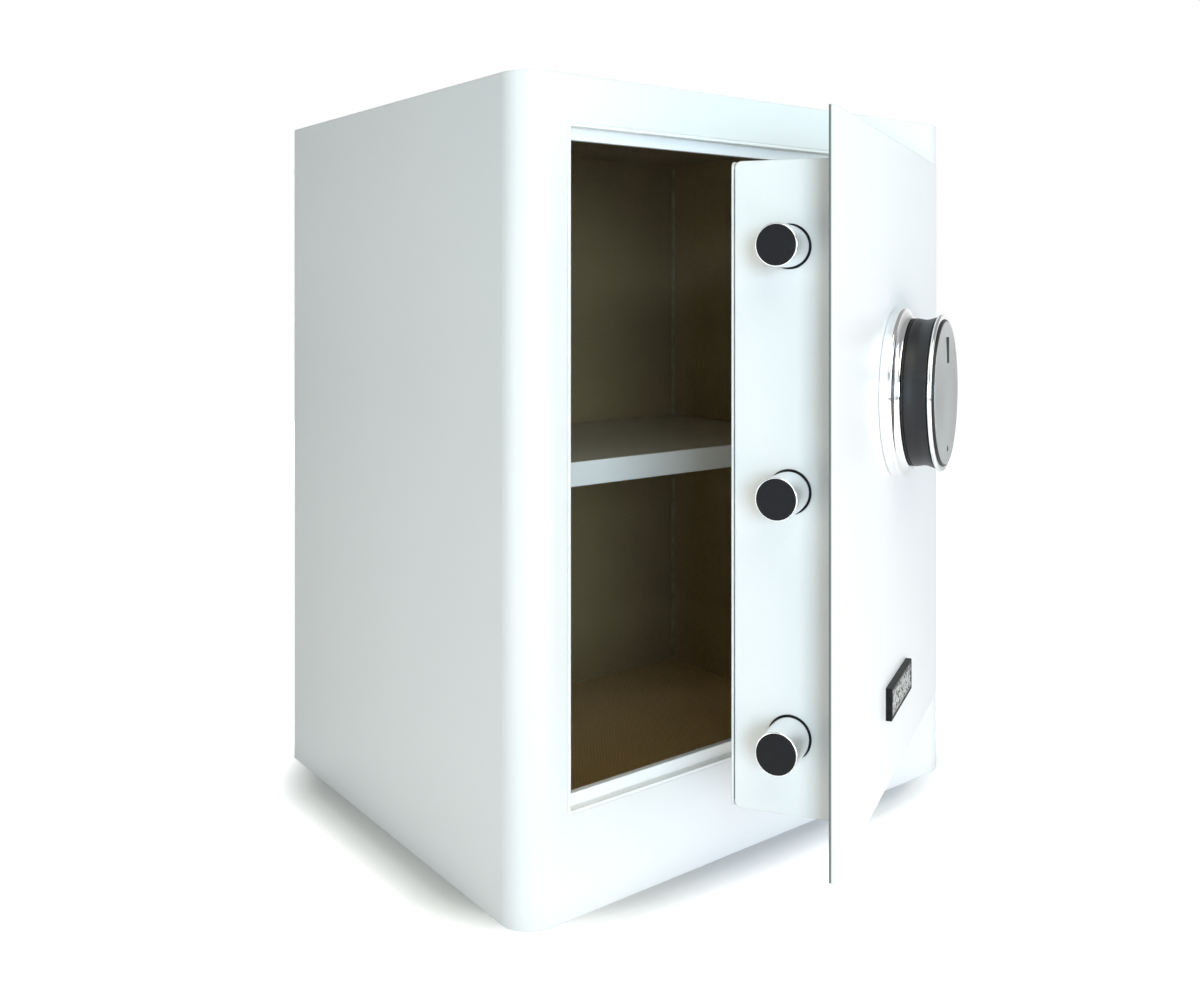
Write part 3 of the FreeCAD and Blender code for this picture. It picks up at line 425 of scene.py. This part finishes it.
def stippledSilver():
    # cast plate with a stippled ground: small dark hollows between brighter worn tops
    look = {"hollow": (0.06, 0.06, 0.065, 1), "top": (0.56, 0.57, 0.56, 1), "stipple": 460.0,
            "rise": (0.4, 0.5), "rough": (0.55, 0.34), "bump": 0.5, "bumpDeep": 0.0003}
    material, tree, shader = newMaterial("stippledSilver", Metallic=0.9)
    raised = remap(tree, noise(tree, objectPlace(tree), look["stipple"], 2.0, 0.45), *look["rise"])
    tree.links.new(mixColour(tree, raised, look["hollow"], look["top"]), shader["Base Color"])
    tree.links.new(remap(tree, raised, 0.0, 1.0, *look["rough"]), shader["Roughness"])
    tree.links.new(bumpFrom(tree, raised, look["bump"], look["bumpDeep"]), shader["Normal"])
    return material


def darkGloss():
    look = {"clean": (0.006, 0.006, 0.008, 1), "touched": (0.03, 0.03, 0.034, 1), "rough": 0.08,
            "smeared": 0.3, "marks": 0.4}
    material, tree, shader = newMaterial("darkGloss", Specular_IOR_Level=0.012)
    marks = placeGroup(tree, handling, Amount=look["marks"])["Mask"]
    tree.links.new(mixColour(tree, marks, look["clean"], look["touched"]), shader["Base Color"])
    tree.links.new(maths(tree, "MULTIPLY_ADD", marks, look["smeared"], look["rough"]), shader["Roughness"])
    return material


def speckled(name, dark, light, scale, rough, bump, **values):
    # a quiet two-tone finish with its own grain, for pieces seen less
    own = {"tones": (0.32, 0.7), "swing": 0.08, "bumpDeep": 0.0003}      # swing is of the roughness
    material, tree, shader = newMaterial(name, **values)
    grain = noise(tree, objectPlace(tree), scale, 5.0)
    tree.links.new(mixColour(tree, remap(tree, grain, *own["tones"]), dark, light), shader["Base Color"])
    tree.links.new(spread(tree, grain, (rough - own["swing"], rough + own["swing"])), shader["Roughness"])
    tree.links.new(bumpFrom(tree, grain, bump, own["bumpDeep"]), shader["Normal"])
    return material


def cornersOf(node):
    return [corner.co for corner in nodes[node].data.vertices]


joints = {joint["name"]: joint for joint in frame["joints"]}
knobCentre = Vector(joints["knob_turn"]["pos_m"])
knobAlong = Vector(joints["knob_turn"]["axis"]).normalized()
upward = Vector((0, 0, 1))


def plateEdgeShadowLine(tree):
    # painted shadow: a thin darkened band at the rear corner of the door plate's free edge, standing in for the
    # shadow line between plate and pan
    band = {"full": 0.0009, "gone": 0.0016}      # from the plate's rear face
    rear = min(corner.dot(knobAlong) for corner in cornersOf("door_plate"))
    depth = vectorMaths(tree, "DOT_PRODUCT", objectPlace(tree), knobAlong, output=1)
    corner = remap(tree, depth, rear + band["gone"], rear + band["full"])
    return maths(tree, "MULTIPLY", facing(tree, knobAlong.cross(upward)), corner)


# painted shade: the shelf's up-facing top is toned down to olive, as shade tinted by light reflected off the
# lining
def shelfTopPaintedShade(tree):
    return facing(tree, upward)


finishes = {
    "white_paint": whitePaint(),
    "lining": liningSheet(),
    "zinc_steel": plainSteel(),
    "chrome": polishedChrome(),
    "black_plastic": blackPlastic("blackPlastic", 0.4),
    "silver_face": spunSilver(knobCentre, knobAlong),
    "dark_window": darkGloss(),
}
quietLooks = {
    "bead": dict(name="paleBead", dark=(0.30, 0.25, 0.15, 1), light=(0.4, 0.34, 0.21, 1), scale=70.0,
                 rough=0.6, bump=0.05, Specular_IOR_Level=0.1),
    "dark_frame": dict(name="darkFrame", dark=(0.006, 0.006, 0.007, 1), light=(0.016, 0.016, 0.017, 1),
                       scale=500.0, rough=0.4, bump=0.08, Specular_IOR_Level=0.12),
    "seal": dict(name="rubberStrip", dark=(0.006, 0.008, 0.02, 1), light=(0.02, 0.022, 0.04, 1), scale=700.0,
                 rough=0.7, bump=0.15),
    "fire_board": dict(name="mineralBoard", dark=(0.5, 0.47, 0.4, 1), light=(0.68, 0.65, 0.58, 1),
                       scale=420.0, rough=0.85, bump=0.35),
    "brass": dict(name="turnedBrass", dark=(0.5, 0.36, 0.13, 1), light=(0.72, 0.55, 0.24, 1), scale=240.0,
                  rough=0.3, bump=0.06, Metallic=1.0),
    "dark_steel": dict(name="oxideSteel", dark=(0.02, 0.02, 0.022, 1), light=(0.06, 0.06, 0.062, 1),
                       scale=300.0, rough=0.45, bump=0.1, Metallic=0.6),
    "circuit": dict(name="circuitBoard", dark=(0.008, 0.09, 0.035, 1), light=(0.016, 0.15, 0.06, 1),
                    scale=160.0, rough=0.3, bump=0.05, Coat_Weight=0.3),
    "cell": dict(name="cellSleeve", dark=(0.03, 0.034, 0.04, 1), light=(0.06, 0.066, 0.075, 1), scale=120.0,
                 rough=0.3, bump=0.03),
}
for slot, quiet in quietLooks.items():
    finishes[slot] = speckled(**quiet)

# nodes that differ a little from the rest of their slot
ownFinishes = {
    "bolt_caps": blackPlastic("capBlack", 0.16),
    "badge_plate": stippledSilver(),
    # painted shadow along the rear corner of the plate's free edge
    "door_plate": whitePaint("plateWhiteEdgeShadow", shaded=plateEdgeShadowLine, shade=(0.2, 0.21, 0.2, 1)),
    # a lighter copy of the white paint as painted light, with painted shade on the shelf's top
    "shelf": whitePaint("shelfWhiteLitAndShaded", (0.95, 0.965, 0.955, 1), shaded=shelfTopPaintedShade, shade=(0.6, 0.56, 0.49, 1)),
    # a lighter copy of the white paint as painted light, with little painted corner shade
    "door_rebate": whitePaint("rebateWhiteLit", (0.96, 0.97, 0.965, 1), cornerShadeAmount=0.05),
    # more painted corner shade, which also stands in for the shadow the plate's overhang casts on the pan's side
    "door_pan": whitePaint("panWhiteShaded", cornerShadeAmount=0.55),
    # a lighter copy of the lining as painted light on the right wall
    "lining_right": liningSheet("liningRightLit", 1.45),
}


def dressNodes():
    slotOf = {part["node"]: part["material_slot"] for part in frame["record"]["subparts"]}
    for name, piece in nodes.items():
        for holder in piece.material_slots:
            holder.material = ownFinishes.get(name) or finishes[slotOf[name]]


dressNodes()
print("finishes assigned")


def spanAlong(node):
    # a node's lowest and highest point along the knob's axis, from the joint's own point
    reach = [(corner - knobCentre).dot(knobAlong) for corner in cornersOf(node)]
    return min(reach), max(reach)


def axisDistances(node):
    # a node's nearest and farthest corner from the knob's axis
    away = [knobAlong.cross(corner - knobCentre).length for corner in cornersOf(node)]
    return min(away), max(away)


def arcPoints(middle, radius, start, end, count):
    turns = [math.radians(start + (end - start) * step / count) for step in range(count + 1)]
    return [(middle[0] + radius * math.cos(turn), middle[1] + radius * math.sin(turn)) for turn in turns]


def spinOutline(form, outline, centre, along, steps):
    # spins a closed outline of (height, radius) points about an axis; a point on the axis stays single
    side = along.orthogonal().normalized()
    other = along.cross(side)
    rings = []
    for height, radius in outline:
        middle = centre + along * height
        turns = [2 * math.pi * step / steps for step in range(steps if radius else 1)]
        rings.append([form.verts.new(middle + (side * math.cos(turn) + other * math.sin(turn)) * radius)
                      for turn in turns])
    for near, far in zip(rings, rings[1:] + rings[:1]):
        if len(near) == len(far) == 1:
            continue
        for step in range(steps):
            after = (step + 1) % steps
            if len(near) == 1:
                form.faces.new((near[0], far[after], far[step]))
            elif len(far) == 1:
                form.faces.new((near[step], near[after], far[0]))
            else:
                form.faces.new((near[step], near[after], far[after], far[step]))


def turnedPiece(name, outline, look, centres=(knobCentre,), along=knobAlong, steps=180):
    # one turned form at each centre, smooth along its curves and sharp at its hard corners
    sharp = math.radians(34)
    form = bmesh.new()
    for centre in centres:
        spinOutline(form, outline, centre, along, steps)
    bmesh.ops.recalc_face_normals(form, faces=form.faces[:])
    for face in form.faces:
        face.smooth = True
    for edge in form.edges:
        edge.smooth = edge.calc_face_angle(0) < sharp
    mesh = bpy.data.meshes.new(name)
    form.to_mesh(mesh)
    form.free()
    mesh.materials.append(look)
    return newObject(name, mesh)


def knobSleeve():
    # the black grip: waisted, with a groove at each end, and the collar that holds the bead
    size = {"wall": 0.003, "waist": 0.0009, "flare": 0.0011, "grooveAt": 0.0009, "grooveWide": 0.0009,
            "grooveDeep": 0.0012, "edge": 0.0004, "steps": 14}
    low, high = spanAlong("knob_grip")
    end = spanAlong("knob_rim")[0]
    radius = axisDistances("knob_grip")[1]
    collar = axisDistances("knob_rim")[0]
    deep = radius - size["grooveDeep"]
    rear = low + size["grooveAt"]
    start = rear + size["grooveWide"]
    stop = end - size["grooveWide"]
    outline = [(low, radius - size["wall"]), (low, radius - size["edge"]), (low + size["edge"], radius),
               (rear, radius), (rear, deep), (start, deep)]
    for step in range(size["steps"] + 1):
        share = step / size["steps"]
        bulge = size["flare"] * share ** 3 - size["waist"] * math.sin(math.pi * share) ** 2
        outline.append((start + (stop - start) * share, radius + bulge))
    outline += [(stop, deep), (end, deep), (end, collar), (high - size["edge"], collar),
                (high, collar - size["edge"]), (high, 0), (end - size["wall"], 0),
                (end - size["wall"], radius - size["wall"])]
    made = turnedPiece("knobSleeve", outline, finishes["black_plastic"])
    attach(made, "knob")
    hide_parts("knob_grip")


def knobBead():
    # the chrome ring round the face
    size = {"round": 0.0012, "edge": 0.0004, "arc": 8}
    low, high = spanAlong("knob_rim")
    inner, outer = axisDistances("knob_rim")
    curve = size["round"]
    outline = [(low, inner)]
    outline += arcPoints((low + curve, outer - curve), curve, 180, 90, size["arc"])
    outline += arcPoints((high - curve, outer - curve), curve, 90, 0, size["arc"])
    outline += [(high, inner + size["edge"]), (high - size["edge"], inner)]
    made = turnedPiece("knobBead", outline, finishes["chrome"])
    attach(made, "knob")
    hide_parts("knob_rim")


def knobFlange():
    # the fixed chrome base: an upright foot, a rounded shoulder and a cove up to the grip
    size = {"foot": 0.0012, "crown": 0.0025, "crownEnd": 15, "shoulder": 0.0078, "land": 0.001, "arc": 10,
            "cove": 12, "coveBend": 1.6}
    low, high = spanAlong("knob_base")
    bore, outer = axisDistances("knob_base")
    inner = axisDistances("knob_grip")[1] + size["land"]
    foot, crown = size["foot"], size["crown"]
    outline = [(low, bore)] + arcPoints((low + foot, outer - foot), foot, 180, 90, size["arc"])
    shoulder = low + size["shoulder"]
    outline += arcPoints((shoulder - crown, outer - crown), crown, 90, size["crownEnd"], size["arc"])
    height, radius = outline[-1]
    for step in range(1, size["cove"] + 1):
        share = step / size["cove"]
        bend = (1 - share) ** size["coveBend"]
        outline.append((height + (high - height) * share, inner + (radius - inner) * bend))
    outline.append((high, bore))
    made = turnedPiece("knobFlange", outline, finishes["chrome"])
    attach(made, "door")
    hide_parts("knob_base")


knobSleeve()
knobBead()
knobFlange()
print("knob built")


def middleOf(corners, way):
    # halfway between the first and the last corner in one direction
    reach = [corner.dot(way) for corner in corners]
    return way * (min(reach) + max(reach)) / 2


def boltGapShadowRings():
    # painted shadow: thin black rings where the bolts leave the door, standing in for the shade in the gap round
    # each bolt
    size = {"sheet": 0.0015, "lip": 0.00025, "gap": 0.00012, "wall": 0.00058, "edge": 0.00012, "steps": 96}
    along = Vector(joints["bolt_throw"]["axis"]).normalized()
    across = Vector((along.y, -along.x, 0))
    bolts = [cornersOf(bolt) for bolt in ("upper_bolt", "middle_bolt", "lower_bolt")]
    centres = [middleOf(corners, across) + middleOf(corners, upward) for corners in bolts]
    radius = max(along.cross(corner - centres[-1]).length for corner in bolts[-1])
    outside = max(corner.dot(along) for corner in cornersOf("door_pan"))
    rear, front = outside - size["sheet"], outside + size["lip"]
    inner = radius + size["gap"]
    outer = inner + size["wall"]
    edge = size["edge"]
    outline = [(rear, inner), (rear, outer), (front - edge, outer), (front, outer - edge),
               (front, inner + edge), (front - edge, inner)]
    made = turnedPiece("boltGapShadowRings", outline, ownFinishes["bolt_caps"], centres, along, size["steps"])
    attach(made, "door")


boltGapShadowRings()
print("bolt liners built")


def badgeBorder():
    # a raised line round the blank badge
    size = {"inset": 0.0019, "corner": 0.0022, "thick": 0.00035, "arc": 6}
    across = Vector((knobAlong.y, -knobAlong.x, 0))
    corners = cornersOf("badge_plate")
    reach = [[corner.dot(way) for corner in corners] for way in (across, upward, knobAlong)]
    inset, corner = size["inset"], size["corner"]
    left, right = min(reach[0]) + inset + corner, max(reach[0]) - inset - corner
    bottom, top = min(reach[1]) + inset + corner, max(reach[1]) - inset - corner
    loop = []
    for quarter, middle in enumerate(((right, top), (left, top), (left, bottom), (right, bottom))):
        loop += arcPoints(middle, corner, 90 * quarter, 90 * quarter + 90, size["arc"])
    curve = bpy.data.curves.new("badgeBorder", "CURVE")
    curve.dimensions = "3D"
    curve.bevel_depth = size["thick"]
    curve.bevel_resolution = 3
    line = curve.splines.new("POLY")
    line.points.add(len(loop) - 1)
    line.use_cyclic_u = True
    for point, (u, v) in zip(line.points, loop):
        point.co = (*(across * u + upward * v + knobAlong * max(reach[2])), 1)
    curve.materials.append(ownFinishes["badge_plate"])
    made = newObject("badgeBorder", curve)
    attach(made, "door")


badgeBorder()
print("badge built")


def palePaper(halfWide, halfDeep):
    # white paper that glows softly away from the safe, and is darker in its contact shadow
    look = {"pale": (0.93, 0.93, 0.935, 1), "paler": (0.95, 0.95, 0.95, 1), "contact": (0.67, 0.67, 0.675, 1),
            "contactReach": 0.02, "glow": (0.008, 0.06), "mirroredGlow": 0.45, "seenGlow": 0.55,
            "rounded": 0.09, "grain": 300.0}
    material, tree, shader = newMaterial("palePaper", Specular_IOR_Level=0.0, Roughness=0.8,
                                         Emission_Strength=1.0)
    place = objectPlace(tree)
    # distance beyond the safe's footprint, with its corners rounded off as its soft shadow rounds them
    inner = (halfWide - look["rounded"], halfDeep - look["rounded"], 0)
    beyond = vectorMaths(tree, "SUBTRACT", vectorMaths(tree, "ABSOLUTE", place), inner)
    beyond = vectorMaths(tree, "LENGTH", vectorMaths(tree, "MAXIMUM", beyond, (0, 0, 0)), output=1)
    beyond = maths(tree, "SUBTRACT", beyond, look["rounded"])
    pale = mixColour(tree, noise(tree, place, look["grain"]), look["pale"], look["paler"])
    shadow = remap(tree, beyond, 0.0, look["contactReach"])
    tree.links.new(mixColour(tree, shadow, look["contact"], pale), shader["Base Color"])
    path = addNode(tree, "LightPath")
    mirrored = maths(tree, "SUBTRACT", 1.0, path.outputs["Is Diffuse Ray"])
    seen = maths(tree, "MULTIPLY_ADD", path.outputs["Is Camera Ray"], look["seenGlow"],
                 maths(tree, "MULTIPLY", mirrored, look["mirroredGlow"]))
    away = remap(tree, beyond, *look["glow"])
    glow = mixColour(tree, maths(tree, "MULTIPLY", away, seen), (0, 0, 0, 1), (1, 1, 1, 1))
    tree.links.new(glow, shader["Emission Color"])
    return material


def sweepFloor():
    reach = 14.0        # far enough for its end to melt into the white behind
    corners = cornersOf("body_wrap")
    mesh = bpy.data.meshes.new("floor")
    mesh.from_pydata([(-reach, -reach, 0), (reach, -reach, 0), (reach, reach, 0), (-reach, reach, 0)], [],
                     [(0, 1, 2, 3)])
    mesh.materials.append(palePaper(max(corner.x for corner in corners), max(corner.y for corner in corners)))
    newObject("floor", mesh)


sweepFloor()
print("floor laid")
